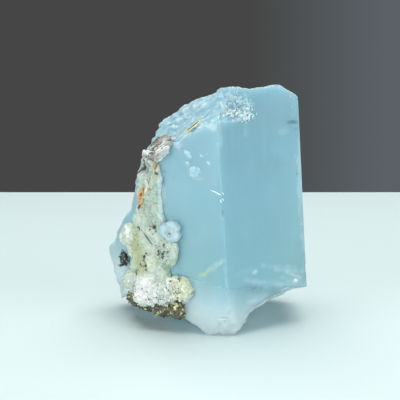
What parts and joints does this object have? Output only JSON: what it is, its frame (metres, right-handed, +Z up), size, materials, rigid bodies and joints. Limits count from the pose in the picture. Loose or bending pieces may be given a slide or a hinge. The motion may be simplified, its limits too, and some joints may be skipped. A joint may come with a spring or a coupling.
{
  "type": "aquamarine crystal specimen",
  "caption": "Broken hexagonal prism of pale blue, see-through beryl standing on its broken foot, with a crust of white feldspar, milky quartz and mica on one flank.",
  "frame": {"origin": "middle of the bounding box in plan, at the level of the surface the crystal stands on", "axes": "+Z up, nearly along the prism's long axis; the prism's front edge faces -Y and the feldspar flank faces -X"},
  "size_m": [0.0328, 0.023, 0.0384],
  "materials": {
    "beryl": "clear to slightly milky pale blue, glossy on the prism faces and frosted on the breaks",
    "feldspar": "matt, sugary, white with greenish and yellowish patches and dark specks",
    "milky_quartz": "smooth, milky, slightly see-through",
    "silver_mica": "thin grey plates with pearly edges",
    "golden_mica": "thin golden-green plates, satin",
    "rusty_mica": "thin plates stained by iron, from cream to orange-brown",
    "brown_mica": "dark olive-brown flakes, satin",
    "dark_mica": "black-green grain with bright facets"
  },
  "bodies": {
    "root": {"aquamarine_crystal": "beryl", "feldspar_crust": "feldspar", "quartz_knob": "milky_quartz", "silver_mica_book": "silver_mica", "golden_mica_sliver": "golden_mica", "rusty_mica_blade": "rusty_mica", "brown_mica_blade": "brown_mica", "brown_mica_cluster": "brown_mica", "dark_mica_grain": "dark_mica"}
  },
  "joints": []
}
